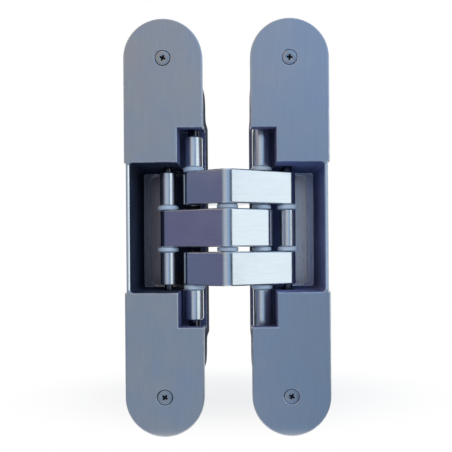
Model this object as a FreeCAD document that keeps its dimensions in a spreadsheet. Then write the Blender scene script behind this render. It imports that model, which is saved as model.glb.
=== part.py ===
import FreeCAD, Part
import Sketcher
import math
import os
from FreeCAD import Placement, Rotation, Vector

# Concealed hinge with two equal leaves and three dog-leg link bars, laid open to 180 degrees.
# X runs across the leaves, Y into the door edge and Z along the pins. The origin is the middle
# of the frame leaf's screw pair, on the back of its faceplate.

doc = FreeCAD.newDocument("concealed_hinge")
sheet = doc.addObject("Spreadsheet::Sheet", "dims")

# Driving dimensions in millimetres. Depths are measured behind the front face of a leaf,
# reaches are measured outwards from its inner edge, and levels upwards from mid height.
DRIVING = {
    "plate_length": 180.0,
    "plate_width": 34.0,
    "plate_thickness": 3.5,
    "edge_break": 0.4,
    "half_gap": 10.3,
    "shut_half_gap": 2.0,
    "body_depth": 36.0,
    "body_inset": 0.75,
    "body_half_length": 50.5,
    "shoulder_half_length": 61.0,
    "shoulder_depth": 18.0,
    "shoulder_round": 6.0,
    "shoulder_sweep": 3.5,
    "body_edge_round": 1.6,
    "pocket_half_height": 28.0,
    "pocket_depth": 32.0,
    "pocket_rim": 2.3,
    "pocket_sill": 2.5,
    "pocket_corner": 1.6,
    "notch_width": 11.0,
    "notch_half_height": 43.0,
    "notch_depth": 16.8,
    "notch_undercut": 2.0,
    "relief_depth": 1.2,
    "relief_corner": 3.5,
    "relief_near": 8.0,
    "relief_far": 28.6,
    "relief_half_height": 27.3,
    "groove_level": 32.0,
    "groove_clearance": 0.35,
    "pivot_reach": 5.0,
    "pivot_depth": 11.5,
    "slide_reach": 17.0,
    "slide_depth": 13.3,
    "knuckle_depth": 6.0,
    "nose_round": 6.4,
    "pivot_eye_round": 5.0,
    "slide_eye_round": 3.5,
    "crook_depth": 6.0,
    "crook_round": 6.0,
    "waist_round": 8.0,
    "waist_clearance": 0.45,
    "inner_bar_half_height": 8.4,
    "outer_bar_low": 10.5,
    "outer_bar_high": 25.4,
    "bar_edge_break": 0.5,
    "running_clearance": 0.05,
    "knuckle_pin_diameter": 6.0,
    "pivot_pin_diameter": 5.0,
    "slide_pin_diameter": 4.0,
    "pivot_pin_level": 57.0,
    "stub_pin_low": 10.9,
    "slide_pin_level": 31.6,
    "washer_diameter": 9.4,
    "spacer_diameter": 8.6,
    "washer_thickness": 1.9,
    "end_play": 0.1,
    "pivot_sleeve_diameter": 8.2,
    "slide_sleeve_diameter": 7.2,
    "frame_sleeve_high": 41.0,
    "pin_chamfer": 0.5,
    "sleeve_chamfer": 0.35,
    "screw_head_diameter": 6.2,
    "screw_head_rim": 0.45,
    "screw_neck_diameter": 4.6,
    "screw_diameter": 4.0,
    "screw_length": 26.0,
    "screw_point": 5.0,
    "screw_seat_clearance": 0.2,
    "recess_width": 0.95,
    "recess_span": 3.0,
    "recess_depth": 1.5,
    "recess_turn": 12.0,
}


class Size(float):
    """A length that remembers the sheet cells it is worked out from."""

    def __new__(cls, value, text):
        size = float.__new__(cls, value)
        size.text = text
        return size

    def __add__(self, other):
        return Size(float(self) + float(other), f"({self.text} + {text_of(other)})")

    def __sub__(self, other):
        return Size(float(self) - float(other), f"({self.text} - {text_of(other)})")

    def __mul__(self, other):
        return Size(float(self) * float(other), f"({self.text} * {text_of(other)})")

    def __truediv__(self, other):
        return Size(float(self) / float(other), f"({self.text} / {text_of(other)})")

    def __neg__(self):
        return Size(-float(self), f"(0 - {self.text})")


def text_of(value):
    return value.text if isinstance(value, Size) else repr(float(value))


def write_sheet(values, first_row):
    """Write named numbers to the sheet and return them as sizes."""
    sizes = {}
    for row, (name, value) in enumerate(values.items(), first_row):
        sheet.set(f"A{row}", name)
        sheet.set(f"B{row}", repr(value))
        sheet.setAlias(f"B{row}", name)
        sizes[name] = Size(value, f"dims.{name}")
    return sizes


def circle_through(first, second, third):
    """Centre and radius of the circle through three plane points."""
    circle = Part.Circle(first, second, third)
    return circle.Center, circle.Radius


def slide_path(d):
    """Arc that a slide pin follows in its leaf while both leaves close by equal angles."""
    pivot = Vector(d["pivot_reach"], d["pivot_depth"], 0)
    short_arm = Vector(-d["half_gap"], d["knuckle_depth"], 0) - pivot
    long_arm = Vector(d["slide_reach"] + d["half_gap"], d["slide_depth"] - d["knuckle_depth"], 0)
    shut_rise = -d["shut_half_gap"] - d["pivot_depth"]
    shut_run = math.sqrt(short_arm.Length ** 2 - shut_rise ** 2)
    pivot_turn = math.atan2(shut_rise, shut_run) - math.atan2(short_arm.y, short_arm.x)
    link_turn = math.pi - pivot_turn
    places = []
    for share in (0.0, 0.5, 1.0):
        short_now = Rotation(Vector(0, 0, 1), math.degrees(pivot_turn * share)).multVec(short_arm)
        long_now = Rotation(Vector(0, 0, 1), math.degrees(link_turn * share)).multVec(long_arm)
        places.append(pivot + short_now + long_now)
    centre, radius = circle_through(*places)
    print("pivot turn", math.degrees(pivot_turn), "knuckle turn", math.degrees(link_turn - pivot_turn))
    return {
        "slide_arm": long_arm.Length,
        "groove_round": radius,
        "groove_centre_reach": centre.x,
        "groove_centre_depth": centre.y,
        "groove_end_reach": places[2].x,
        "groove_end_depth": places[2].y,
    }


d = write_sheet(DRIVING, 1)
d.update(write_sheet(slide_path(DRIVING), len(DRIVING) + 1))
doc.recompute()


def drive(target, name, size):
    target.setExpression(name, size.text)


def new_body(label):
    body = doc.addObject("PartDesign::Body", label)
    body.Label = label
    return body


def new_sketch(body, name, role, offset=None):
    """Sketch on one of the body's origin planes, moved along that plane's normal."""
    sketch = body.newObject("Sketcher::SketchObject", name)
    plane = next(item for item in body.Origin.OriginFeatures if item.Role == role)
    sketch.AttachmentSupport = (plane, [""])
    sketch.MapMode = "FlatFace"
    if offset is not None:
        drive(sketch, "AttachmentOffset.Base.z", offset)
    return sketch


def hold_point(sketch, item, end, x, y):
    """Tie a point of a sketch item to its distances from the sketch origin."""
    for kind, size in (("DistanceX", x), ("DistanceY", y)):
        index = sketch.addConstraint(Sketcher.Constraint(kind, -1, 1, item, end, float(size)))
        drive(sketch, f"Constraints[{index}]", size)


def hold_level(sketch, item, end, y):
    """Tie a point of a sketch item to its height over the sketch origin."""
    index = sketch.addConstraint(Sketcher.Constraint("DistanceY", -1, 1, item, end, float(y)))
    drive(sketch, f"Constraints[{index}]", y)


def hold_radius(sketch, item, size):
    index = sketch.addConstraint(Sketcher.Constraint("Radius", item, float(size)))
    drive(sketch, f"Constraints[{index}]", size)


def draw_circle(sketch, x, y, radius):
    item = sketch.addGeometry(Part.Circle(Vector(x, y, 0), Vector(0, 0, 1), float(radius)), False)
    hold_point(sketch, item, 3, x, y)
    hold_radius(sketch, item, radius)


def draw_arc(sketch, centre, first, last):
    """Arc that runs anticlockwise round a centre from one point to another."""
    begin = math.atan2(first.y - centre.y, first.x - centre.x)
    finish = math.atan2(last.y - centre.y, last.x - centre.x)
    if finish <= begin:
        finish += 2 * math.pi
    circle = Part.Circle(centre, Vector(0, 0, 1), (first - centre).Length)
    return sketch.addGeometry(Part.ArcOfCircle(circle, begin, finish), False)


def draw_rectangle(sketch, left, right, low, high):
    corners = [(left, low), (right, low), (right, high), (left, high)]
    for number, (x, y) in enumerate(corners):
        next_x, next_y = corners[(number + 1) % 4]
        line = Part.LineSegment(Vector(x, y, 0), Vector(next_x, next_y, 0))
        item = sketch.addGeometry(line, False)
        hold_point(sketch, item, 1, x, y)
    for number in range(4):
        sketch.addConstraint(Sketcher.Constraint("Coincident", number, 2, (number + 1) % 4, 1))


def add_pad(body, sketch, name, length):
    pad = body.newObject("PartDesign::Pad", name)
    pad.Profile = sketch
    drive(pad, "Length", length)
    doc.recompute()
    return pad


def add_pocket(body, sketch, name, length):
    """Cut along the sketch's backward normal and make sure that metal comes off."""
    before = body.Shape.Volume
    pocket = body.newObject("PartDesign::Pocket", name)
    pocket.Profile = sketch
    drive(pocket, "Length", length)
    doc.recompute()
    if body.Shape.Volume >= before:
        raise RuntimeError(f"{body.Label}: {name} cuts nothing")
    return pocket


def add_edge_feature(body, kind, name, size, choose):
    """Round or chamfer the edges of the body's present shape that a test picks."""
    base = body.Tip
    picked = [f"Edge{n}" for n, edge in enumerate(base.Shape.Edges, 1) if choose(edge)]
    feature = body.newObject(kind, name)
    feature.Base = (base, picked)
    drive(feature, "Radius" if kind.endswith("Fillet") else "Size", size)
    doc.recompute()
    return feature


def place(body, x, y, z, turn):
    """Put a body at a point, turned round the Y axis by an angle in degrees."""
    body.Placement = Placement(Vector(), Rotation(Vector(0, 1, 0), float(turn)))
    drive(body, "Placement.Base.x", x)
    drive(body, "Placement.Base.y", y)
    drive(body, "Placement.Base.z", z)


NEAR = 0.01
ZERO = Size(0.0, "0")
HALF_TURN = Size(180.0, "180")

half_width = d["plate_width"] / 2
face = -d["plate_thickness"]
mid_x = half_width + d["half_gap"]
door_x = mid_x * 2
knuckle_y = d["knuckle_depth"] - d["plate_thickness"]
pivot_x = half_width - d["pivot_reach"]
pivot_y = d["pivot_depth"] - d["plate_thickness"]
slide_x = half_width - d["slide_reach"]
slide_y = d["slide_depth"] - d["plate_thickness"]
sleeve_seat = d["notch_half_height"] + d["notch_undercut"]
screw_level = (d["plate_length"] - d["plate_width"]) / 2
screw_hole = d["screw_neck_diameter"] / 2 + d["screw_seat_clearance"]


def lies_on_front(edge):
    return all(abs(vertex.Y - face) < NEAR for vertex in edge.Vertexes)


def draw_stadium(sketch):
    """Faceplate outline: two straight sides and two full-round ends."""
    right, left = half_width, -half_width
    top, bottom = screw_level, -screw_level
    sides = [(right, bottom, right, top), (left, top, left, bottom)]
    for x, y, end_x, end_y in sides:
        line = Part.LineSegment(Vector(x, y, 0), Vector(end_x, end_y, 0))
        item = sketch.addGeometry(line, False)
        hold_point(sketch, item, 1, x, y)
        hold_point(sketch, item, 2, end_x, end_y)
    for level, start, finish in ((top, right, left), (bottom, left, right)):
        item = draw_arc(sketch, Vector(0, level, 0), Vector(start, level, 0), Vector(finish, level, 0))
        hold_level(sketch, item, 3, level)
    for first, second in ((0, 2), (2, 1), (1, 3), (3, 0)):
        sketch.addConstraint(Sketcher.Constraint("Coincident", first, 2, second, 1))


def draw_body_side(sketch):
    """Side outline of a leaf's body: a deep middle that sweeps up to rounded shoulders."""
    back = d["body_depth"] - d["plate_thickness"]
    step = d["shoulder_depth"] - d["plate_thickness"]
    deep = d["body_half_length"]
    end = d["shoulder_half_length"]
    turn = d["shoulder_round"]
    sweep = d["shoulder_sweep"]
    upper = [
        (ZERO, end),
        (step - turn, end),
        (step, end - turn),
        (step, deep + sweep),
        (step + sweep, deep),
        (back, deep),
    ]
    points = upper + [(y, -z) for y, z in reversed(upper)]
    centres = {1: (step - turn, end - turn), 3: (step + sweep, deep + sweep)}
    centres.update({9: (centres[1][0], -centres[1][1]), 7: (centres[3][0], -centres[3][1])})
    for number, (y, z) in enumerate(points):
        next_y, next_z = points[(number + 1) % len(points)]
        start, finish = Vector(y, z, 0), Vector(next_y, next_z, 0)
        if number in centres:
            centre = Vector(*centres[number], 0)
            anticlockwise = (start - centre).cross(finish - centre).z > 0
            ends = (start, finish) if anticlockwise else (finish, start)
            item = draw_arc(sketch, centre, *ends)
            hold_point(sketch, item, 1 if anticlockwise else 2, y, z)
            hold_radius(sketch, item, turn if number in (1, 9) else sweep)
        else:
            item = sketch.addGeometry(Part.LineSegment(start, finish), False)
            hold_point(sketch, item, 1, y, z)
    count = len(points)
    for number in range(count):
        other = (number + 1) % count
        sketch.addConstraint(Sketcher.Constraint(
            "Coincident", number, end_at(sketch, number, points[other]),
            other, end_at(sketch, other, points[other])))


def end_at(sketch, item, point):
    """Which end of a sketch item lies at a point."""
    shape = sketch.Geometry[item]
    gap = (shape.StartPoint - Vector(point[0], point[1], 0)).Length
    return 1 if gap < NEAR else 2


def draw_groove(sketch):
    """Curved slot as wide as a slide pin with its clearance, round the pin's arc."""
    centre_x = half_width - d["groove_centre_reach"]
    centre_y = d["groove_centre_depth"] - d["plate_thickness"]
    end_x = half_width - d["groove_end_reach"]
    end_y = d["groove_end_depth"] - d["plate_thickness"]
    half = d["slide_pin_diameter"] / 2 + d["groove_clearance"]
    outer_round, inner_round = d["groove_round"] + half, d["groove_round"] - half
    centre = Vector(centre_x, centre_y, 0)
    near, far = Vector(slide_x, slide_y, 0), Vector(end_x, end_y, 0)
    near_ray, far_ray = (near - centre).normalize(), (far - centre).normalize()
    outer_near, outer_far = centre + near_ray * outer_round, centre + far_ray * outer_round
    inner_near, inner_far = centre + near_ray * inner_round, centre + far_ray * inner_round
    outer = draw_arc(sketch, centre, outer_far, outer_near)
    inner = draw_arc(sketch, centre, inner_far, inner_near)
    near_cap = draw_arc(sketch, near, outer_near, inner_near)
    far_cap = draw_arc(sketch, far, inner_far, outer_far)
    joints = [(outer, 2, near_cap, 1), (near_cap, 2, inner, 2),
              (inner, 1, far_cap, 1), (far_cap, 2, outer, 1)]
    for joint in joints:
        sketch.addConstraint(Sketcher.Constraint("Tangent", *joint))
    for rail, radius in ((outer, outer_round), (inner, inner_round)):
        hold_point(sketch, rail, 3, centre_x, centre_y)
        hold_radius(sketch, rail, radius)
    hold_level(sketch, near_cap, 3, slide_y)
    hold_level(sketch, far_cap, 3, end_y)


def make_leaf(label, x, turn):
    """One leaf: faceplate and body in one piece, pocketed, notched, grooved and drilled."""
    body = new_body(label)

    outline = new_sketch(body, "plate_outline", "XZ_Plane")
    draw_stadium(outline)
    add_pad(body, outline, "plate", d["plate_thickness"])

    side = new_sketch(body, "body_side", "YZ_Plane", d["body_inset"] - half_width)
    draw_body_side(side)
    add_pad(body, side, "body", d["plate_width"] - d["body_inset"])

    back = d["body_depth"] - d["plate_thickness"]

    def is_back_edge(edge):
        return all(abs(vertex.Y - back) < NEAR for vertex in edge.Vertexes)

    add_edge_feature(body, "PartDesign::Fillet", "back_edges", d["body_edge_round"], is_back_edge)

    opening = new_sketch(body, "pocket_outline", "XZ_Plane", d["plate_thickness"])
    draw_rectangle(opening, d["pocket_rim"] - half_width, half_width - d["pocket_sill"],
                   -d["pocket_half_height"], d["pocket_half_height"])
    add_pocket(body, opening, "pocket", d["pocket_depth"])

    def is_pocket_corner(edge):
        box = edge.BoundBox
        upright = box.XLength < NEAR and box.ZLength < NEAR and box.YLength > NEAR
        at_end = abs(abs(box.ZMin) - d["pocket_half_height"]) < NEAR
        return upright and at_end and abs(box.XMin) < half_width - NEAR

    add_edge_feature(body, "PartDesign::Fillet", "pocket_corners", d["pocket_corner"],
                     is_pocket_corner)

    relief = new_sketch(body, "relief_outline", "XZ_Plane",
                        d["plate_thickness"] - d["pocket_depth"])
    draw_rectangle(relief, half_width - d["relief_far"], half_width - d["relief_near"],
                   -d["relief_half_height"], d["relief_half_height"])
    add_pocket(body, relief, "relief", d["relief_depth"])

    def is_relief_corner(edge):
        box = edge.BoundBox
        upright = box.XLength < NEAR and box.ZLength < NEAR and box.YLength > NEAR
        return upright and abs(abs(box.ZMin) - d["relief_half_height"]) < NEAR

    add_edge_feature(body, "PartDesign::Fillet", "relief_corners", d["relief_corner"],
                     is_relief_corner)

    notch = new_sketch(body, "notch_outline", "XZ_Plane", d["plate_thickness"])
    draw_rectangle(notch, half_width - d["notch_width"], half_width + d["half_gap"],
                   -d["notch_half_height"], d["notch_half_height"])
    add_pocket(body, notch, "notch", d["notch_depth"])

    undercut = new_sketch(body, "undercut_outline", "XZ_Plane")
    draw_rectangle(undercut, half_width - d["notch_width"], half_width + d["half_gap"],
                   -sleeve_seat, sleeve_seat)
    add_pocket(body, undercut, "undercut", d["notch_depth"] - d["plate_thickness"])

    groove = new_sketch(body, "groove_outline", "XY_Plane", d["groove_level"])
    draw_groove(groove)
    add_pocket(body, groove, "groove", d["groove_level"] * 2)

    bores = new_sketch(body, "pivot_bore_circle", "XY_Plane", d["plate_length"] / 2)
    draw_circle(bores, pivot_x, pivot_y, d["pivot_pin_diameter"] / 2)
    add_pocket(body, bores, "pivot_bores", d["plate_length"])

    rim = new_sketch(body, "rim_outline", "XZ_Plane", d["plate_thickness"])
    draw_rectangle(rim, -half_width - d["body_inset"], d["body_inset"] - half_width,
                   -d["pocket_half_height"], d["pocket_half_height"])
    add_pocket(body, rim, "rim", d["plate_thickness"])

    holes = new_sketch(body, "screw_circles", "XZ_Plane", d["plate_thickness"])
    for level in (screw_level, -screw_level):
        draw_circle(holes, ZERO, level, screw_hole)
    add_pocket(body, holes, "screw_holes", d["plate_thickness"])

    add_edge_feature(body, "PartDesign::Chamfer", "front_edges", d["edge_break"],
                     lambda edge: lies_on_front(edge) and not is_screw_hole(edge))
    seat = d["screw_head_diameter"] / 2 + d["screw_head_rim"] - screw_hole
    add_edge_feature(body, "PartDesign::Chamfer", "screw_seats", seat,
                     lambda edge: lies_on_front(edge) and is_screw_hole(edge))
    place(body, x, ZERO, ZERO, turn)
    return body


def is_screw_hole(edge):
    """A full circle no wider than a screw's clearance hole."""
    is_circle = isinstance(edge.Curve, Part.Circle) and edge.isClosed()
    return is_circle and edge.Curve.Radius < screw_hole + NEAR


def tangent_points(first, first_radius, second, second_radius, side):
    """Ends of the line that touches two circles on one side of the way between them."""
    way = second - first
    lean = math.asin((first_radius - second_radius) / way.Length)
    across = math.atan2(way.y, way.x) + side * (math.pi / 2 - lean)
    normal = Vector(math.cos(across), math.sin(across), 0)
    return first + normal * first_radius, second + normal * second_radius


def draw_link(sketch):
    """Dog-leg bar: two eyes and a nose round the knuckle, tangent in front, crooked behind."""
    pivot_run = mid_x - pivot_x
    pivot_drop = pivot_y - knuckle_y
    slide_run = mid_x - slide_x
    slide_drop = slide_y - knuckle_y
    pivot_eye = Vector(-pivot_run, pivot_drop, 0)
    slide_eye = Vector(slide_run, slide_drop, 0)
    nose = Vector()
    crook = Vector(0, d["crook_depth"], 0)
    pivot_round = float(d["pivot_eye_round"])
    slide_round = float(d["slide_eye_round"])
    nose_round = float(d["nose_round"])
    front_a, front_b = tangent_points(pivot_eye, pivot_round, nose, nose_round, -1)
    front_c, front_d = tangent_points(nose, nose_round, slide_eye, slide_round, -1)
    back_a, back_b = tangent_points(slide_eye, slide_round, crook, 0.0, -1)
    back_c, back_d = tangent_points(crook, 0.0, pivot_eye, pivot_round, -1)
    sketch.addGeometry(Part.LineSegment(front_a, front_b), False)
    draw_arc(sketch, nose, front_b, front_c)
    sketch.addGeometry(Part.LineSegment(front_c, front_d), False)
    draw_arc(sketch, slide_eye, front_d, back_a)
    sketch.addGeometry(Part.LineSegment(back_a, back_b), False)
    sketch.addGeometry(Part.LineSegment(back_c, back_d), False)
    draw_arc(sketch, pivot_eye, back_d, front_a)
    ends = [(front_a, front_b), (front_b, front_c), (front_c, front_d), (front_d, back_a),
            (back_a, back_b), (back_c, back_d), (back_d, front_a)]
    count = len(ends)
    for number in range(count):
        other = (number + 1) % count
        joint = ends[number][1]
        kind = "Coincident" if joint == crook else "Tangent"
        sketch.addConstraint(Sketcher.Constraint(
            kind, number, end_at(sketch, number, joint), other, end_at(sketch, other, joint)))
    hold_point(sketch, 1, 3, ZERO, ZERO)
    hold_radius(sketch, 1, d["nose_round"])
    hold_point(sketch, 3, 3, slide_run, slide_drop)
    hold_radius(sketch, 3, d["slide_eye_round"])
    hold_point(sketch, 6, 3, -pivot_run, pivot_drop)
    hold_radius(sketch, 6, d["pivot_eye_round"])
    hold_point(sketch, 5, 1, ZERO, d["crook_depth"])


def make_link(label, low, high, knuckle_bore, turn):
    """One bar between two levels, bored for its three pins and waisted behind its long arm."""
    body = new_body(label)
    height = high - low
    outline = new_sketch(body, "bar_outline", "XY_Plane")
    draw_link(outline)
    add_pad(body, outline, "bar", height)

    def is_crook(edge):
        box = edge.BoundBox
        return box.XLength < NEAR and abs(box.XMin) < NEAR and abs(box.YMin - d["crook_depth"]) < NEAR

    add_edge_feature(body, "PartDesign::Fillet", "crook", d["crook_round"], is_crook)

    # The far leaf's pivot pin lies in this scallop while the hinge is open.
    waist_gap = d["waist_round"] - d["pivot_pin_diameter"] / 2 - d["waist_clearance"]
    centre_x = mid_x - pivot_x - waist_gap * (slide_y - knuckle_y) / d["slide_arm"]
    centre_y = pivot_y - knuckle_y + waist_gap * (mid_x - slide_x) / d["slide_arm"]
    waist = new_sketch(body, "waist_circle", "XY_Plane", height)
    draw_circle(waist, centre_x, centre_y, d["waist_round"])
    add_pocket(body, waist, "waist", height)

    add_edge_feature(body, "PartDesign::Chamfer", "bar_edges", d["bar_edge_break"],
                     lambda edge: edge.BoundBox.ZLength < NEAR)

    bores = new_sketch(body, "bar_bores", "XY_Plane", height)
    pivot_bore = d["pivot_pin_diameter"] / 2 + d["running_clearance"]
    draw_circle(bores, ZERO, ZERO, knuckle_bore)
    draw_circle(bores, pivot_x - mid_x, pivot_y - knuckle_y, pivot_bore)
    draw_circle(bores, mid_x - slide_x, slide_y - knuckle_y, d["slide_pin_diameter"] / 2)
    add_pocket(body, bores, "bores", height)
    place(body, mid_x, knuckle_y, high if turn == HALF_TURN else low, turn)
    return body


def make_round(label, x, y, low, high, diameter, bore, chamfer):
    """A turned pin, washer or sleeve between two levels, chamfered on its outer ends."""
    body = new_body(label)
    section = new_sketch(body, "section", "XY_Plane")
    draw_circle(section, ZERO, ZERO, diameter / 2)
    if bore is not None:
        draw_circle(section, ZERO, ZERO, bore / 2)
    add_pad(body, section, "length", high - low)

    def is_outer(edge):
        return isinstance(edge.Curve, Part.Circle) and abs(edge.Curve.Radius - diameter / 2) < NEAR

    add_edge_feature(body, "PartDesign::Chamfer", "ends", chamfer, is_outer)
    place(body, x, y, low, ZERO)
    return body


def make_screw(label, x, level):
    """Countersunk wood screw: head flush with the faceplate, cross recess, pointed shank."""
    body = new_body(label)
    head = d["screw_head_diameter"] / 2
    neck = d["screw_neck_diameter"] / 2
    shank = d["screw_diameter"] / 2
    rim = d["screw_head_rim"]
    through = d["plate_thickness"]
    tip = d["screw_length"]
    points = [(ZERO, ZERO), (head, ZERO), (head, rim), (neck, rim + head - neck), (neck, through),
              (shank, through), (shank, tip - d["screw_point"]), (ZERO, tip)]
    profile = new_sketch(body, "screw_profile", "XY_Plane")
    for number, (radius, depth) in enumerate(points):
        next_radius, next_depth = points[(number + 1) % len(points)]
        line = Part.LineSegment(Vector(radius, depth, 0), Vector(next_radius, next_depth, 0))
        item = profile.addGeometry(line, False)
        hold_point(profile, item, 1, radius, depth)
    for number in range(len(points)):
        other = (number + 1) % len(points)
        profile.addConstraint(Sketcher.Constraint("Coincident", number, 2, other, 1))
    turned = body.newObject("PartDesign::Revolution", "turned")
    turned.Profile = profile
    turned.ReferenceAxis = (profile, ["V_Axis"])
    turned.Angle = 360.0
    doc.recompute()
    half_span = d["recess_span"] / 2
    half_slot = d["recess_width"] / 2
    for name, across, along in (("recess_across", half_span, half_slot),
                                ("recess_along", half_slot, half_span)):
        slot = new_sketch(body, name + "_outline", "XZ_Plane")
        draw_rectangle(slot, -across, across, -along, along)
        add_pocket(body, slot, name, d["recess_depth"])
    place(body, x, face, level, d["recess_turn"])
    return body


play = d["end_play"]
parts = []

# The two leaves are the same casting, one turned half round.
parts.append(make_leaf("frame_leaf_body", ZERO, ZERO))
parts.append(make_leaf("door_leaf_body", door_x, HALF_TURN))
for leaf, x in (("frame_leaf", ZERO), ("door_leaf", door_x)):
    for name, level in (("upper", screw_level), ("lower", -screw_level)):
        parts.append(make_screw(f"{leaf}_screw_{name}", x, level))

# Three bars share one forging: a pair for the outer link and one, turned round, between them.
outer_low, outer_high = d["outer_bar_low"], d["outer_bar_high"]
inner = d["inner_bar_half_height"]
tight_knuckle = d["knuckle_pin_diameter"] / 2
free_knuckle = tight_knuckle + d["running_clearance"]
parts.append(make_link("outer_link_upper", outer_low, outer_high, tight_knuckle, ZERO))
parts.append(make_link("outer_link_lower", -outer_high, -outer_low, tight_knuckle, ZERO))
parts.append(make_link("inner_link_bar", -inner, inner, free_knuckle, HALF_TURN))

pin_chamfer = d["pin_chamfer"]
sleeve_chamfer = d["sleeve_chamfer"]
gap_low = inner + play
gap_high = gap_low + d["washer_thickness"]
seat_low = outer_high + play
seat_high = seat_low + d["washer_thickness"]
frame_pivot_x = pivot_x
door_pivot_x = door_x - pivot_x
frame_slide_x = slide_x
door_slide_x = door_x - slide_x

parts.append(make_round("knuckle_pin", mid_x, knuckle_y, -outer_high, outer_high,
                        d["knuckle_pin_diameter"], None, pin_chamfer))
parts.append(make_round("door_pivot_pin", door_pivot_x, pivot_y, -d["pivot_pin_level"],
                        d["pivot_pin_level"], d["pivot_pin_diameter"], None, pin_chamfer))
parts.append(make_round("outer_slide_pin", door_slide_x, slide_y, -d["slide_pin_level"],
                        d["slide_pin_level"], d["slide_pin_diameter"], None, pin_chamfer))
parts.append(make_round("inner_slide_pin", frame_slide_x, slide_y, -d["slide_pin_level"],
                        d["slide_pin_level"], d["slide_pin_diameter"], None, pin_chamfer))
parts.append(make_round("outer_slide_sleeve", door_slide_x, slide_y, -inner, inner,
                        d["slide_sleeve_diameter"], d["slide_pin_diameter"], sleeve_chamfer))


def add_pair(label, x, y, low, high, diameter, bore, chamfer):
    """The same round piece above mid height and again below it."""
    parts.append(make_round(f"{label}_upper", x, y, low, high, diameter, bore, chamfer))
    parts.append(make_round(f"{label}_lower", x, y, -high, -low, diameter, bore, chamfer))


add_pair("frame_pivot_pin", frame_pivot_x, pivot_y, d["stub_pin_low"], d["pivot_pin_level"],
         d["pivot_pin_diameter"], None, pin_chamfer)
add_pair("frame_pivot_sleeve", frame_pivot_x, pivot_y, seat_high + play, d["frame_sleeve_high"],
         d["pivot_sleeve_diameter"], d["pivot_pin_diameter"], sleeve_chamfer)
add_pair("frame_pivot_washer", frame_pivot_x, pivot_y, seat_low, seat_high,
         d["washer_diameter"], d["pivot_pin_diameter"], sleeve_chamfer)
add_pair("door_pivot_sleeve", door_pivot_x, pivot_y, seat_high + play, sleeve_seat - play,
         d["pivot_sleeve_diameter"], d["pivot_pin_diameter"], sleeve_chamfer)
add_pair("door_pivot_washer", door_pivot_x, pivot_y, seat_low, seat_high,
         d["washer_diameter"], d["pivot_pin_diameter"], sleeve_chamfer)
add_pair("door_pivot_spacer", door_pivot_x, pivot_y, gap_low, gap_high,
         d["spacer_diameter"], d["pivot_pin_diameter"], sleeve_chamfer)
add_pair("knuckle_washer", mid_x, knuckle_y, gap_low, gap_high,
         d["washer_diameter"], d["knuckle_pin_diameter"], sleeve_chamfer)
add_pair("outer_slide_washer", door_slide_x, slide_y, gap_low, gap_high,
         d["washer_diameter"], d["slide_pin_diameter"], sleeve_chamfer)
add_pair("inner_slide_washer", frame_slide_x, slide_y, gap_low, gap_high,
         d["washer_diameter"], d["slide_pin_diameter"], sleeve_chamfer)
add_pair("inner_slide_sleeve", frame_slide_x, slide_y, gap_high + play, outer_high,
         d["slide_sleeve_diameter"], d["slide_pin_diameter"], sleeve_chamfer)

doc.recompute()

for item in doc.Objects:
    if "Invalid" in item.State or "Error" in item.State:
        raise RuntimeError(f"{item.Label} failed: {item.State}")
for body in parts:
    if body.Shape.isNull() or not body.Shape.isValid() or len(body.Shape.Solids) != 1:
        raise RuntimeError(f"{body.Label} is not one valid solid")

os.makedirs("parts", exist_ok=True)
for body in parts:
    body.Shape.exportStep(f"parts/{body.Label}.step")
    print(body.Label, round(body.Shape.Volume, 1))
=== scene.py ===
"""Concealed hinge, opened flat: cast leaves, dark pins, turned sleeves, brushed link bars and wood screws."""

import math

import bpy
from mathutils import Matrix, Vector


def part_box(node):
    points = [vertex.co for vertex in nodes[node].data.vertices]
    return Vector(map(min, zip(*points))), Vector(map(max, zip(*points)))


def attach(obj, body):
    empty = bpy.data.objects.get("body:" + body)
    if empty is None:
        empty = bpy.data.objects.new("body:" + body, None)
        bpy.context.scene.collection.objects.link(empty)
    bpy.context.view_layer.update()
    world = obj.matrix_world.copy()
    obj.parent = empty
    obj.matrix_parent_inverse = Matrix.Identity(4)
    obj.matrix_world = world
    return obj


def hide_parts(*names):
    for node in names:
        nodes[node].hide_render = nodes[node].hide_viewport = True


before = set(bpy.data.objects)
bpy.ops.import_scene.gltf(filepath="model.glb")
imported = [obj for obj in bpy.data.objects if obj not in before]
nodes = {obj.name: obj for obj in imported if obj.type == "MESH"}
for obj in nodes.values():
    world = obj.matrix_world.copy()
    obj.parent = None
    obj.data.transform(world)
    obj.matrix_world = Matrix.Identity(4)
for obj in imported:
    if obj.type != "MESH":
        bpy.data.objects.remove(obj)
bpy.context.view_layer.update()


# Leaves. Each is a faceplate with the mortise body behind it, cast in one piece in stainless steel.
# The face is ground and satin finished along its length, and the body keeps its sandy cast skin.
# Inside the pocket, the notches and the countersinks the colour is painted shade, lighter in the door leaf as
# painted light; the pocket's back wall is milled for the folding bars.
def add_node(tree, kind, inputs=None, **settings):
    """A shader node; each of its inputs takes a value, or a link from another node's output."""
    node = tree.nodes.new(kind)
    for name, value in settings.items():
        setattr(node, name, value)
    for socket, value in (inputs or {}).items():
        if isinstance(value, bpy.types.NodeSocket):
            tree.links.new(value, node.inputs[socket])
        else:
            node.inputs[socket].default_value = value
    return node


def add_math(tree, operation, *values, **settings):
    """Values or masks put together by one sum."""
    numbered = dict(enumerate(values))
    return add_node(tree, "ShaderNodeMath", numbered, operation=operation, **settings).outputs[0]


# The two marks between which nearly all of a noise lies.
NOISE_LOW = 0.3
NOISE_HIGH = 0.7


def add_range(tree, value, low, high, start=NOISE_LOW, end=NOISE_HIGH, **settings):
    """A value that goes from low to high while another goes from start to end."""
    limits = {"Value": value, "From Min": start, "From Max": end, "To Min": low, "To Max": high}
    return add_node(tree, "ShaderNodeMapRange", limits, **settings).outputs["Result"]


def blend_tones(tree, mask, outside, inside):
    """One colour where a mask is 0 and another where it is 1."""
    tones = {"Factor": mask, "A": outside, "B": inside}
    return add_node(tree, "ShaderNodeMix", tones, data_type="RGBA").outputs["Result"]


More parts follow.
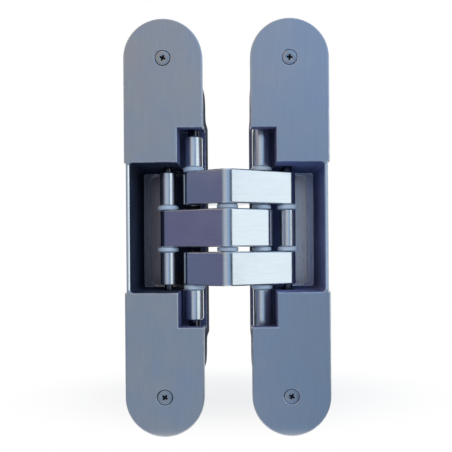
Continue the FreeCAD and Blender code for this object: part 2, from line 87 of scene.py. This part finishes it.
def blend_values(tree, mask, outside, inside):
    """One value where a mask is 0 and another where it is 1."""
    values = {"Factor": mask, "A": outside, "B": inside}
    return add_node(tree, "ShaderNodeMix", values, data_type="FLOAT").outputs["Result"]


def new_group(name, inputs, outputs):
    """An empty node group, with the sockets that come into it and go out of it."""
    group = bpy.data.node_groups.new(name, "ShaderNodeTree")
    for socket, kind in inputs:
        group.interface.new_socket(socket, in_out="INPUT", socket_type=kind)
    for socket, kind in outputs:
        group.interface.new_socket(socket, in_out="OUTPUT", socket_type=kind)
    source = add_node(group, "NodeGroupInput")
    target = add_node(group, "NodeGroupOutput")
    return group, source.outputs, target.inputs


# Tool marks and the soft clouding that handling leaves, both from 0 to 1.
surface_grain, given, put_out = new_group(
    "surface_grain",
    [("Vector", "NodeSocketVector"), ("Stretch", "NodeSocketVector"),
     ("Grain Scale", "NodeSocketFloat"), ("Cloud Scale", "NodeSocketFloat")],
    [("Grain", "NodeSocketFloat"), ("Cloud", "NodeSocketFloat")])
stretched = add_node(surface_grain, "ShaderNodeVectorMath",
                     {0: given["Vector"], 1: given["Stretch"]}, operation="MULTIPLY")
marks = add_node(surface_grain, "ShaderNodeTexNoise",
                 {"Vector": stretched.outputs[0], "Scale": given["Grain Scale"],
                  "Detail": 4.0, "Roughness": 0.6})
clouds = add_node(surface_grain, "ShaderNodeTexNoise",
                  {"Vector": given["Vector"], "Scale": given["Cloud Scale"], "Detail": 3.0})
surface_grain.links.new(marks.outputs["Fac"], put_out["Grain"])
surface_grain.links.new(clouds.outputs["Fac"], put_out["Cloud"])

# How far a point lies inside a box: 1 within it, falling to 0 at its walls.
inside_box, given, put_out = new_group(
    "inside_box",
    [("Vector", "NodeSocketVector"), ("Centre", "NodeSocketVector"),
     ("Half Size", "NodeSocketVector"), ("Fade", "NodeSocketFloat")],
    [("Mask", "NodeSocketFloat")])
from_centre = add_node(inside_box, "ShaderNodeVectorMath",
                       {0: given["Vector"], 1: given["Centre"]}, operation="SUBTRACT")
distance = add_node(inside_box, "ShaderNodeVectorMath", {0: from_centre.outputs[0]}, operation="ABSOLUTE")
beyond = add_node(inside_box, "ShaderNodeVectorMath",
                  {0: distance.outputs[0], 1: given["Half Size"]}, operation="SUBTRACT")
axes = add_node(inside_box, "ShaderNodeSeparateXYZ", {0: beyond.outputs[0]}).outputs
wider = add_math(inside_box, "MAXIMUM", axes["X"], axes["Y"])
widest = add_math(inside_box, "MAXIMUM", wider, axes["Z"])
inward = add_math(inside_box, "MULTIPLY", widest, -1.0)
fade = add_math(inside_box, "DIVIDE", inward, given["Fade"], use_clamp=True)
inside_box.links.new(fade, put_out["Mask"])

# Broken edges: the normal runs round them, and the mask is where they are rubbed bright, in patches.
# An edge starts where the rounded normal leaves the face, as the cosine of the angle between them.
EDGE_STARTS = 0.99
EDGE_FULL = 0.88
LEAST_RUBBED = 0.4
PATCH_LOW = 0.35
PATCH_HIGH = 0.6
PATCH_SCALE = 300.0
edge_wear, given, put_out = new_group(
    "edge_wear",
    [("Vector", "NodeSocketVector"), ("Radius", "NodeSocketFloat"), ("Patch Scale", "NodeSocketFloat")],
    [("Mask", "NodeSocketFloat"), ("Normal", "NodeSocketVector")])
rounded = add_node(edge_wear, "ShaderNodeBevel", {"Radius": given["Radius"]}, samples=6).outputs["Normal"]
flat = add_node(edge_wear, "ShaderNodeNewGeometry").outputs["Normal"]
likeness = add_node(edge_wear, "ShaderNodeVectorMath", {0: rounded, 1: flat}, operation="DOT_PRODUCT")
turned_away = add_range(edge_wear, likeness.outputs["Value"], 0.0, 1.0, EDGE_STARTS, EDGE_FULL)
patches = add_node(edge_wear, "ShaderNodeTexNoise",
                   {"Vector": given["Vector"], "Scale": given["Patch Scale"]})
rubbed = add_range(edge_wear, patches.outputs["Fac"], LEAST_RUBBED, 1.0, PATCH_LOW, PATCH_HIGH)
edge_wear.links.new(add_math(edge_wear, "MULTIPLY", turned_away, rubbed), put_out["Mask"])
edge_wear.links.new(rounded, put_out["Normal"])


def add_grain(tree, place, stretch, grain_scale, cloud_scale):
    """The grain and the clouding of a surface."""
    values = {"Vector": place, "Stretch": stretch, "Grain Scale": grain_scale, "Cloud Scale": cloud_scale}
    outputs = add_node(tree, "ShaderNodeGroup", values, node_tree=surface_grain).outputs
    return outputs["Grain"], outputs["Cloud"]


def new_finish(name, stretch, grain_scale, cloud_scale, edge_radius):
    """A bare metal, with the masks that its colour, gloss and bump are made from."""
    material = bpy.data.materials.new(name)
    material.use_nodes = True
    tree = material.node_tree
    place = add_node(tree, "ShaderNodeTexCoord").outputs["Object"]
    grain, cloud = add_grain(tree, place, stretch, grain_scale, cloud_scale)
    wear = {"Vector": place, "Radius": edge_radius, "Patch Scale": PATCH_SCALE}
    edge = add_node(tree, "ShaderNodeGroup", wear, node_tree=edge_wear).outputs
    shader = tree.nodes["Principled BSDF"]
    shader.inputs["Metallic"].default_value = 1.0
    return material, tree, shader, grain, cloud, edge


def set_look(tree, shader, colour, gloss):
    """Feeds the colour and the roughness of a finish."""
    tree.links.new(colour, shader.inputs["Base Color"])
    tree.links.new(gloss, shader.inputs["Roughness"])


def add_bump(tree, shader, edge, height, depth, strength):
    """A bump of a depth in metres, over the rounding of the edges."""
    values = {"Height": height, "Distance": depth, "Strength": strength, "Normal": edge["Normal"]}
    bump = add_node(tree, "ShaderNodeBump", values)
    tree.links.new(bump.outputs["Normal"], shader.inputs["Normal"])


def add_box_mask(tree, vector, box):
    """The inside of a box."""
    low, high, fade_width = box
    centre = [(a + b) / 2 for a, b in zip(low, high)]
    half_size = [(b - a) / 2 for a, b in zip(low, high)]
    values = {"Vector": vector, "Centre": centre, "Half Size": half_size, "Fade": fade_width}
    return add_node(tree, "ShaderNodeGroup", values, node_tree=inside_box).outputs["Mask"]


# Boxes in a leaf's own coordinates: lowest corner, highest corner, and how far in the edge fades.
BODY = ((-0.03, 0.0001, -0.1), (0.03, 0.04, 0.1), 0.0003)
POCKET = ((-0.0151, -0.0034, -0.0284), (0.0149, 0.0302, 0.0284), 0.0003)
# The pocket's outer lip, painted with a bright highlight line.
POCKET_LIP_HIGHLIGHT = ((-0.0157, -0.0040, -0.0270), (-0.0145, -0.0030, 0.0270), 0.0002)
BACK_WALL = ((-0.0151, 0.0280, -0.0284), (0.0150, 0.0302, 0.0284), 0.0003)
# The outer side of the back wall; its inner side, behind the bars and sleeves, is painted with the shade of
# the hollows.
WALL_OUT_OF_SHADE = ((-0.03, -0.01, -0.05), (0.0015, 0.05, 0.05), 0.003)
RELIEF = ((-0.0118, 0.0291, -0.0275), (0.0092, 0.0304, 0.0275), 0.0003)
NOTCH_MOUTH = ((0.0057, -0.0034, -0.0434), (0.0200, 0.0136, 0.0434), 0.0003)
UNDERCUT = ((0.0057, -0.0002, -0.0454), (0.0200, 0.0136, 0.0454), 0.0003)
# The countersinks, painted with the shade of the hollows.
COUNTERSINKS = ((-0.0037, -0.00345, -0.078), (0.0037, 0.0, 0.078), 0.0001)

LENGTHWAYS = (1.0, 1.0, 0.06)
EVEN = (1.0, 1.0, 1.0)
SATIN_SCALE = 1500.0
SAND_SCALE = 900.0
LEAF_CLOUDS = 70.0
LEAF_EDGE = 0.0005
LEAF_GRAIN_DEPTH = 0.00002
PIT_HEIGHT = 9.0
MILLED_BARE = 0.5

# Each pair is the tone in the marks and the tone between them, or the smoothest and roughest gloss.
WARM_SATIN = ((0.345, 0.365, 0.405, 1), (0.42, 0.435, 0.47, 1))
COOL_SATIN = ((0.315, 0.365, 0.445, 1), (0.385, 0.44, 0.52, 1))
DULL_CAST = ((0.050, 0.058, 0.078, 1), (0.120, 0.130, 0.158, 1))
PALE_CAST = ((0.085, 0.094, 0.118, 1), (0.160, 0.172, 0.200, 1))
# Painted shade in the notches.
NOTCH_PAINTED_SHADE = ((0.095, 0.105, 0.21, 1), (0.17, 0.185, 0.35, 1))
# Rubbed steel on worn edges, and the painted highlight on the pocket's outer lip.
RUBBED_STEEL_AND_HIGHLIGHT = (0.80, 0.83, 0.87, 1)
SATIN_GLOSS = (0.32, 0.40)
CAST_GLOSS = (0.56, 0.72)
DARK_GLOSS = (0.26, 0.36)
RUBBED_GLOSS = (0.10, 0.16)


def make_leaf_steel(name, offset, side, hollow_painted_shade, milled_painted_light, bed_painted_light):
    """Satin face, cast body, and painted shade in the pocket, notches and countersinks; offset and side place
    the leaf that is turned round.
    """
    material, tree, shader, grain, cloud, edge = new_finish(
        name, stretch=LENGTHWAYS, grain_scale=SATIN_SCALE, cloud_scale=LEAF_CLOUDS, edge_radius=LEAF_EDGE)
    place = add_node(tree, "ShaderNodeTexCoord").outputs["Object"]
    turn = {"Vector": place, "Location": (offset, 0.0, 0.0), "Scale": (side, 1.0, 1.0)}
    own = add_node(tree, "ShaderNodeMapping", turn).outputs["Vector"]
    sand, sand_cloud = add_grain(tree, place, EVEN, SAND_SCALE, LEAF_CLOUDS)

    body = add_box_mask(tree, own, BODY)
    relief = add_box_mask(tree, own, RELIEF)
    notch = add_math(tree, "MAXIMUM", add_box_mask(tree, own, NOTCH_MOUTH), add_box_mask(tree, own, UNDERCUT))
    hollow = add_math(tree, "MAXIMUM", add_box_mask(tree, own, POCKET), notch)
    # Inside the pocket, the notches and the countersinks the colour is painted shade.
    inside = add_math(tree, "MAXIMUM", hollow, add_box_mask(tree, own, COUNTERSINKS))
    # The back wall shows its milled tones only on its outer side; the inner side, behind the bars and
    # sleeves, keeps the painted shade.
    wall_out_of_shade = add_math(tree, "MULTIPLY", add_box_mask(tree, own, BACK_WALL),
                       add_box_mask(tree, own, WALL_OUT_OF_SHADE))
    # Worn edges, and a painted highlight along the pocket's outer lip, take the bright rubbed steel.
    wear_and_lip_highlight = add_math(tree, "MAXIMUM", edge["Mask"], add_box_mask(tree, own, POCKET_LIP_HIGHLIGHT))

    satin = blend_tones(tree, add_range(tree, cloud, 0.0, 1.0),
                        blend_tones(tree, grain, *WARM_SATIN), blend_tones(tree, grain, *COOL_SATIN))
    cast = blend_tones(tree, add_range(tree, sand_cloud, 0.0, 1.0),
                       blend_tones(tree, sand, *DULL_CAST), blend_tones(tree, sand, *PALE_CAST))
    dark = blend_tones(tree, notch, blend_tones(tree, cloud, *hollow_painted_shade), blend_tones(tree, cloud, *NOTCH_PAINTED_SHADE))
    wall = blend_tones(tree, relief, blend_tones(tree, grain, *milled_painted_light), blend_tones(tree, grain, *bed_painted_light))
    outer = blend_tones(tree, body, satin, cast)
    colour = blend_tones(tree, inside, outer, blend_tones(tree, wall_out_of_shade, dark, wall))

    satin_gloss = add_range(tree, cloud, *SATIN_GLOSS)
    cast_gloss = add_range(tree, sand, *CAST_GLOSS)
    outer_gloss = blend_values(tree, body, satin_gloss, cast_gloss)
    gloss = blend_values(tree, inside, outer_gloss, add_range(tree, grain, *DARK_GLOSS))
    set_look(tree, shader, blend_tones(tree, wear_and_lip_highlight, colour, RUBBED_STEEL_AND_HIGHLIGHT),
             blend_values(tree, wear_and_lip_highlight, gloss, add_range(tree, grain, *RUBBED_GLOSS)))

    skinned = add_math(tree, "MAXIMUM", body, inside)
    covered = add_math(tree, "MULTIPLY_ADD", wall_out_of_shade, -MILLED_BARE, skinned)
    bare = add_range(tree, covered, 1.0, 0.0, 0.0, 1.0)
    tree.links.new(add_math(tree, "MAXIMUM", bare, wear_and_lip_highlight), shader.inputs["Metallic"])
    shader.inputs["Specular IOR Level"].default_value = 0.0
    pits = add_math(tree, "MULTIPLY", sand, PIT_HEIGHT)
    add_bump(tree, shader, edge, blend_values(tree, body, grain, pits), depth=LEAF_GRAIN_DEPTH, strength=0.35)
    return material


def dress(names, material):
    """Puts a finish on CAD pieces."""
    for name in names:
        for number in range(len(nodes[name].material_slots)):
            nodes[name].material_slots[number].material = material


# The door leaf is the frame leaf turned round, with its middle at this place.
DOOR_LEAF_X = 0.0546
# The hollow, milled and bed tones differ between the leaves only as painted light and shade: dark painted
# shade in the frame leaf, lighter painted light in the door leaf.
dress(["frame_leaf_body"], make_leaf_steel(
    "frame_leaf_steel", 0.0, 1.0,
    hollow_painted_shade=((0.024, 0.029, 0.050, 1), (0.060, 0.070, 0.115, 1)),
    milled_painted_light=((0.28, 0.255, 0.27, 1), (0.41, 0.38, 0.39, 1)),
    bed_painted_light=((0.24, 0.20, 0.21, 1), (0.37, 0.32, 0.335, 1))))
dress(["door_leaf_body"], make_leaf_steel(
    "door_leaf_steel", DOOR_LEAF_X, -1.0,
    hollow_painted_shade=((0.10, 0.122, 0.26, 1), (0.22, 0.265, 0.50, 1)),
    milled_painted_light=((0.55, 0.60, 0.80, 1), (0.75, 0.80, 0.98, 1)),
    bed_painted_light=((0.74, 0.69, 0.68, 1), (0.92, 0.87, 0.85, 1))))


# Pins. Hardened steel rod, ground to size and burnished dark, which keeps off rust and holds oil.
# They are pressed into the leaves and the bars.
RINGS = (0.04, 0.04, 1.0)
RING_SCALE = 2600.0
ROD_CLOUDS = 240.0
PIN_TONES = ((0.05, 0.053, 0.07, 1), (0.10, 0.105, 0.13, 1))
PIN_GLOSS = (0.16, 0.24)
burnished, tree, shader, grain, cloud, edge = new_finish(
    "burnished_steel", stretch=RINGS, grain_scale=RING_SCALE, cloud_scale=ROD_CLOUDS, edge_radius=0.0002)
set_look(tree, shader, blend_tones(tree, cloud, *PIN_TONES), add_range(tree, cloud, *PIN_GLOSS))
add_bump(tree, shader, edge, grain, depth=0.00001, strength=0.25)
dress([name for name in nodes if "_pin" in name], burnished)


# Sleeves. Steel tube, turned to size, so fine rings run round it, and bright plated over the rings.
# The sleeves turn on the pins, in the notches of the leaves and between the bars.
SLEEVE_TONES = ((0.56, 0.59, 0.62, 1), (0.70, 0.73, 0.76, 1))
SLEEVE_GLOSS = (0.28, 0.36)
turned, tree, shader, grain, cloud, edge = new_finish(
    "turned_steel", stretch=RINGS, grain_scale=RING_SCALE, cloud_scale=ROD_CLOUDS, edge_radius=0.00005)
set_look(tree, shader, blend_tones(tree, grain, *SLEEVE_TONES), add_range(tree, cloud, *SLEEVE_GLOSS))
shader.inputs["Coat Weight"].default_value = 1.0
shader.inputs["Coat Roughness"].default_value = 0.06
shader.inputs["Coat IOR"].default_value = 2.2
add_bump(tree, shader, edge, grain, depth=0.000004, strength=0.15)
dress([name for name in nodes if "_sleeve" in name], turned)


# Washers and spacers. Rings moulded in grey self-lubricating resin, which keep the steel faces apart.
# They are slipped on the pins between the bars, the sleeves and the walls of the pocket.
RESIN_TONES = ((0.63, 0.73, 0.83, 1), (0.76, 0.86, 0.95, 1))
RESIN_GLOSS = (0.38, 0.52)
washer_resin, tree, shader, grain, cloud, edge = new_finish(
    "washer_resin", stretch=EVEN, grain_scale=5200.0, cloud_scale=420.0, edge_radius=0.00012)
shader.inputs["Metallic"].default_value = 0.0
set_look(tree, shader, blend_tones(tree, cloud, *RESIN_TONES), add_range(tree, grain, *RESIN_GLOSS))
add_bump(tree, shader, edge, grain, depth=0.00003, strength=0.3)
dress([name for name in nodes if "_washer" in name or "_spacer" in name], washer_resin)


# Link bars. Dog-leg bars forged in steel, milled on their faces and brushed lengthways. Two work as
# the outer link and one lies between them, all on the knuckle pin in the middle of the hinge.
ALONG_THE_BAR = (0.07, 0.07, 1.0)
BAR_TONES = ((0.56, 0.59, 0.64, 1), (0.68, 0.71, 0.75, 1))
BAR_EDGE_TONE = (0.86, 0.88, 0.90, 1)
BAR_GLOSS = (0.13, 0.19)
bar_steel, tree, shader, grain, cloud, edge = new_finish(
    "bar_steel", stretch=ALONG_THE_BAR, grain_scale=1900.0, cloud_scale=110.0, edge_radius=0.0004)
brushed = blend_tones(tree, grain, *BAR_TONES)
set_look(tree, shader, blend_tones(tree, edge["Mask"], brushed, BAR_EDGE_TONE),
         add_range(tree, cloud, *BAR_GLOSS))
add_bump(tree, shader, edge, grain, depth=0.00002, strength=0.3)
dress(["outer_link_upper", "outer_link_lower", "inner_link_bar"], bar_steel)


# Wood screws. Countersunk steel screws with a cross recess, cold headed, rolled with a coarse thread
# and zinc plated. Two hold each leaf, their heads flush with its face, each left at its own turn.
HEAD_SIDES = 48
HEAD_RADIUS = 0.0031
NECK_RADIUS = 0.0023
SHANK_RADIUS = 0.002
ROOT_RADIUS = 0.00145
TIP_RADIUS = 0.0002
POINT_LENGTH = 0.00495
# From the head down, how long each stretch is and the radius at its end: rim, cone, neck, shoulder,
# plain shank, run-in, threaded root and point.
SCREW_STRETCHES = (
    (0.00045, HEAD_RADIUS), (0.0008, NECK_RADIUS), (0.00225, NECK_RADIUS), (0.0, SHANK_RADIUS),
    (0.0045, SHANK_RADIUS), (0.0004, ROOT_RADIUS), (0.0126, ROOT_RADIUS), (POINT_LENGTH, TIP_RADIUS))
POINT_START = -sum(length for length, end_radius in SCREW_STRETCHES[:-1])
RECESS_DEPTH = 0.0016
RECESS_EDGE = 0.00007
RECESS_SPAN = 0.0034
RECESS_WIDTH = 0.0011
RECESS_FOOT = 0.75
RECESS_FLOOR = -1.1 * RECESS_DEPTH
THREAD_PITCH = 0.0016
THREAD_TURNS = 10
THREAD_STEPS = 28
POINT_TURNS = 2
RIDGE_RADIUS = 0.00043
RIDGE_CENTRE = 0.00156
MERGE_DISTANCE = 0.00001
BROKEN_ANGLE = math.radians(40)
CREASE_ANGLE = math.radians(35)


def apply_modifier(piece, kind, **settings):
    """One modifier, set and applied."""
    bpy.context.view_layer.objects.active = piece
    bpy.ops.object.modifier_add(type=kind)
    modifier = piece.modifiers[-1]
    for name, value in settings.items():
        setattr(modifier, name, value)
    bpy.ops.object.modifier_apply(modifier=modifier.name)


def close_edit():
    """Turns all faces of the piece in edit mode outwards and leaves edit mode."""
    bpy.ops.mesh.select_all(action="SELECT")
    bpy.ops.mesh.normals_make_consistent(inside=False)
    bpy.ops.object.mode_set(mode="OBJECT")


bpy.ops.object.select_all(action="DESELECT")
bpy.ops.mesh.primitive_circle_add(vertices=HEAD_SIDES, radius=HEAD_RADIUS, fill_type="NGON")
screw = bpy.context.object
bpy.ops.object.mode_set(mode="EDIT")
radius = HEAD_RADIUS
for length, next_radius in SCREW_STRETCHES:
    bpy.ops.mesh.extrude_region_move(TRANSFORM_OT_translate={"value": (0.0, 0.0, -length)})
    narrowing = next_radius / radius
    bpy.ops.transform.resize(value=(narrowing, narrowing, 1.0))
    radius = next_radius
close_edit()

for span, width in ((RECESS_SPAN, RECESS_WIDTH), (RECESS_WIDTH, RECESS_SPAN)):
    bpy.ops.object.select_all(action="DESELECT")
    bpy.ops.mesh.primitive_cube_add(size=1.0, scale=(span, width, 2 * RECESS_DEPTH))
    wing = bpy.context.object
    bpy.ops.object.transform_apply()
    for vertex in wing.data.vertices:
        vertex.select = vertex.co.z < 0
    bpy.ops.object.mode_set(mode="EDIT")
    bpy.ops.mesh.select_mode(type="VERT")
    bpy.ops.transform.resize(value=(RECESS_FOOT, RECESS_FOOT, 1.0))
    bpy.ops.object.mode_set(mode="OBJECT")
    apply_modifier(screw, "BOOLEAN", operation="DIFFERENCE", solver="EXACT", object=wing)
    bpy.data.objects.remove(wing)
apply_modifier(screw, "BEVEL", width=RECESS_EDGE, segments=2, limit_method="ANGLE",
               angle_limit=BROKEN_ANGLE)

# The thread's ridge is wound at one radius and drawn in where it runs onto the point.
bpy.ops.object.select_all(action="DESELECT")
bpy.ops.mesh.primitive_circle_add(vertices=3, radius=RIDGE_RADIUS,
                                  location=(RIDGE_CENTRE, 0.0, -POINT_TURNS * THREAD_PITCH),
                                  rotation=(math.pi / 2, math.pi / 2, 0.0))
ridge = bpy.context.object
bpy.ops.object.transform_apply()
apply_modifier(ridge, "SCREW", axis="Z", angle=2 * math.pi, screw_offset=THREAD_PITCH,
               iterations=THREAD_TURNS, steps=THREAD_STEPS, render_steps=THREAD_STEPS)
ridge_foot = min(vertex.co.z for vertex in ridge.data.vertices)
ridge_top = max(vertex.co.z for vertex in ridge.data.vertices)
point_slope = (ROOT_RADIUS - TIP_RADIUS) / ROOT_RADIUS / POINT_LENGTH
apply_modifier(ridge, "SIMPLE_DEFORM", deform_method="TAPER", deform_axis="Z",
               limits=(0.0, -ridge_foot / (ridge_top - ridge_foot)), factor=-ridge_foot * point_slope)
bpy.ops.object.select_all(action="DESELECT")
ridge.select_set(True)
bpy.ops.transform.translate(value=(0.0, 0.0, POINT_START))
bpy.ops.object.transform_apply()
bpy.ops.object.mode_set(mode="EDIT")
bpy.ops.mesh.select_all(action="SELECT")
bpy.ops.mesh.fill_holes(sides=3)
close_edit()

apply_modifier(screw, "BOOLEAN", operation="UNION", solver="EXACT", object=ridge)
bpy.data.objects.remove(ridge)
# The union gives its points in any order, so they are sorted before the close ones are merged.
screw.select_set(True)
bpy.ops.object.mode_set(mode="EDIT")
bpy.ops.mesh.select_all(action="SELECT")
bpy.ops.mesh.sort_elements(type="CURSOR_DISTANCE", elements={"VERT", "EDGE", "FACE"})
bpy.ops.mesh.remove_doubles(threshold=MERGE_DISTANCE)
bpy.ops.mesh.dissolve_degenerate(threshold=MERGE_DISTANCE)
close_edit()
bpy.ops.object.shade_smooth_by_angle(angle=CREASE_ANGLE)

ZINC_SCALE = 4200.0
ZINC_CLOUDS = 600.0
ZINC_EDGE = 0.00006
ZINC_TONES = ((0.28, 0.31, 0.36, 1), (0.39, 0.42, 0.46, 1))
ZINC_GLOSS = (0.24, 0.38)
# Painted shade inside the cross recess.
RECESS_SHADE_TONES = ((0.02, 0.022, 0.028, 1), (0.05, 0.053, 0.06, 1))
RECESS_GLOSS = (0.5, 0.7)
screw_zinc, tree, shader, grain, cloud, edge = new_finish(
    "screw_zinc", stretch=EVEN, grain_scale=ZINC_SCALE, cloud_scale=ZINC_CLOUDS, edge_radius=ZINC_EDGE)
set_look(tree, shader, blend_tones(tree, cloud, *ZINC_TONES), add_range(tree, grain, *ZINC_GLOSS))
add_bump(tree, shader, edge, grain, depth=0.00002, strength=0.3)
screw_recess_shade, tree, shader, grain, cloud, _ = new_finish(
    "screw_recess_shade", stretch=EVEN, grain_scale=ZINC_SCALE, cloud_scale=ZINC_CLOUDS, edge_radius=ZINC_EDGE)
set_look(tree, shader, blend_tones(tree, cloud, *RECESS_SHADE_TONES), add_range(tree, grain, *RECESS_GLOSS))
screw.data.materials.clear()
screw.data.materials.append(screw_zinc)
screw.data.materials.append(screw_recess_shade)
# Faces inside the cross recess take the painted shade.
for face in screw.data.polygons:
    within = math.hypot(face.center.x, face.center.y) < RECESS_SPAN / 2
    if within and RECESS_FLOOR < face.center.z < -RECESS_EDGE:
        face.material_index = 1

for node, leaf, turn in (
        ("frame_leaf_screw_upper", "frame_leaf", 22),
        ("frame_leaf_screw_lower", "frame_leaf", 38),
        ("door_leaf_screw_upper", "door_leaf", 6),
        ("door_leaf_screw_lower", "door_leaf", 30)):
    low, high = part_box(node)
    bpy.ops.object.select_all(action="DESELECT")
    screw.select_set(True)
    bpy.context.view_layer.objects.active = screw
    bpy.ops.object.duplicate()
    piece = bpy.context.object
    piece.name = node + "_threaded"
    piece.rotation_euler = (math.pi / 2, math.radians(turn), 0.0)
    piece.location = ((low.x + high.x) / 2, low.y, (low.z + high.z) / 2)
    bpy.ops.object.transform_apply()
    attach(piece, leaf)
    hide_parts(node)
bpy.data.objects.remove(screw)


# Studio. The hinge stands at the front edge of a plain pale floor, before a white surround, with one
# large softbox to the right of the camera. The left side of the room is dim, which gives the bars
# their dark faces.
MIDDLE_X = DOOR_LEAF_X / 2
WHITE = (1.0, 1.0, 1.0, 1)
FLOOR_LEVEL = -0.0904
FLOOR_SIZE = 0.6
FLOOR_MIDDLE_Y = 0.292
FLOOR_TONE = (0.86, 0.86, 0.86, 1)
# The floor shows its shading in an oval patch under the hinge and fades to white around it.
SHADE_MIDDLE_Y = 0.06
SHADE_SQUEEZE = 0.5
SHADE_REACH = (0.01, 0.068)
SHADE_WHITE = (0.66, 1.0)
bpy.ops.object.select_all(action="DESELECT")
bpy.ops.mesh.primitive_plane_add(size=FLOOR_SIZE, location=(MIDDLE_X, FLOOR_MIDDLE_Y, FLOOR_LEVEL))
floor = bpy.context.object
bpy.ops.object.transform_apply()
floor.name = "floor"
paper = bpy.data.materials.new("floor_paper")
paper.use_nodes = True
tree = paper.node_tree
tree.nodes.clear()
rays = add_node(tree, "ShaderNodeLightPath").outputs
seen = add_math(tree, "ADD", rays["Is Camera Ray"], rays["Is Glossy Ray"])
shown = add_math(tree, "ADD", seen, rays["Is Transmission Ray"])
place = add_node(tree, "ShaderNodeTexCoord").outputs["Object"]
oval = {"Vector": place, "Scale": (SHADE_SQUEEZE, 1.0, 0.0),
        "Location": (-MIDDLE_X * SHADE_SQUEEZE, -SHADE_MIDDLE_Y, 0.0)}
patch = add_node(tree, "ShaderNodeMapping", oval).outputs["Vector"]
from_middle = add_node(tree, "ShaderNodeVectorMath", {0: patch}, operation="LENGTH").outputs["Value"]
share = add_range(tree, from_middle, *SHADE_WHITE, *SHADE_REACH, interpolation_type="SMOOTHSTEP")
part = add_math(tree, "MULTIPLY", shown, share, use_clamp=True)
matt = add_node(tree, "ShaderNodeBsdfDiffuse", {"Color": FLOOR_TONE})
white = add_node(tree, "ShaderNodeEmission")
blend = add_node(tree, "ShaderNodeMixShader", {"Fac": part, 1: matt.outputs[0], 2: white.outputs[0]})
add_node(tree, "ShaderNodeOutputMaterial", {"Surface": blend.outputs[0]})
floor.data.materials.append(paper)

# The room's tones from its left to its right, at eye level and overhead, and where one turns into
# the other; the room behind the hinge is white.
WALLS = ((0.08, (0.155, 0.195, 0.315, 1)), (0.13, (0.165, 0.155, 0.275, 1)), (0.16, (0.165, 0.155, 0.275, 1)),
         (0.21, (0.30, 0.36, 0.43, 1)), (0.30, (0.55, 0.62, 0.70, 1)), (0.42, (0.64, 0.67, 0.72, 1)),
         (0.50, (0.43, 0.56, 0.75, 1)), (0.60, (0.36, 0.55, 0.80, 1)), (0.66, (0.30, 0.40, 0.55, 1)),
         (0.72, (0.08, 0.11, 0.16, 1)))
CEILING = ((0.40, (0.77, 0.68, 0.59, 1)), (0.58, (0.55, 0.78, 1.12, 1)))
CEILING_RISE = (0.215, 0.27)
BACKDROP_RISE = (-0.1, 0.4)


def add_ramp(tree, across, stops):
    """A colour that changes from stop to stop."""
    ramp = add_node(tree, "ShaderNodeValToRGB", {"Fac": across})
    elements = ramp.color_ramp.elements
    for position, tone in stops[1:-1]:
        elements.new(position).color = tone
    elements[0].position, elements[0].color = stops[0]
    elements[-1].position, elements[-1].color = stops[-1]
    return ramp.outputs["Color"]


world = bpy.data.worlds.new("studio")
bpy.context.scene.world = world
world.use_nodes = True
tree = world.node_tree
tree.nodes.clear()
direction = add_node(tree, "ShaderNodeTexCoord").outputs["Generated"]
axes = add_node(tree, "ShaderNodeSeparateXYZ", {0: direction}).outputs
across = add_range(tree, axes["X"], 0.0, 1.0, -1.0, 1.0)
upward = add_range(tree, axes["Z"], 0.0, 1.0, *CEILING_RISE)
behind = add_range(tree, axes["Y"], 0.0, 1.0, *BACKDROP_RISE)
room = blend_tones(tree, upward, add_ramp(tree, across, WALLS), add_ramp(tree, across, CEILING))
rays = add_node(tree, "ShaderNodeLightPath").outputs
direct = add_math(tree, "ADD", rays["Is Camera Ray"], rays["Is Transmission Ray"], use_clamp=True)
reflected = add_math(tree, "MULTIPLY", rays["Is Glossy Ray"], behind)
shown = add_math(tree, "ADD", direct, reflected, use_clamp=True)
lighting = add_node(tree, "ShaderNodeBackground", {"Color": blend_tones(tree, behind, room, WHITE)})
white = add_node(tree, "ShaderNodeBackground", {"Color": WHITE})
blend = add_node(tree, "ShaderNodeMixShader", {"Fac": shown, 1: lighting.outputs[0], 2: white.outputs[0]})
add_node(tree, "ShaderNodeOutputWorld", {"Surface": blend.outputs[0]})

SOFTBOX_TURN = math.radians(62.0)
SOFTBOX_REACH = 0.6
lamp = bpy.data.lights.new("softbox", "AREA")
lamp.shape = "RECTANGLE"
lamp.size = 0.57
lamp.size_y = 0.42
lamp.energy = 0.90
lamp.color = (0.93, 1.0, 0.98)
softbox = bpy.data.objects.new("softbox", lamp)
softbox.location = (MIDDLE_X + SOFTBOX_REACH * math.sin(SOFTBOX_TURN),
                    -SOFTBOX_REACH * math.cos(SOFTBOX_TURN), 0.0)
softbox.rotation_euler = (math.radians(90), 0.0, SOFTBOX_TURN)
softbox.visible_camera = False
bpy.context.scene.collection.objects.link(softbox)

view = bpy.data.cameras.new("camera")
view.lens = 38.0
view.sensor_width = 36.0
view.shift_x = -0.0296
view.shift_y = 0.0489
view.clip_start = 0.01
camera = bpy.data.objects.new("camera", view)
camera.location = (0.03244, -0.2085, -0.009)
camera.rotation_euler = (math.radians(90), math.radians(0.425), 0.0)
bpy.context.scene.collection.objects.link(camera)
bpy.context.scene.camera = camera
bpy.context.scene.view_settings.view_transform = "Standard"
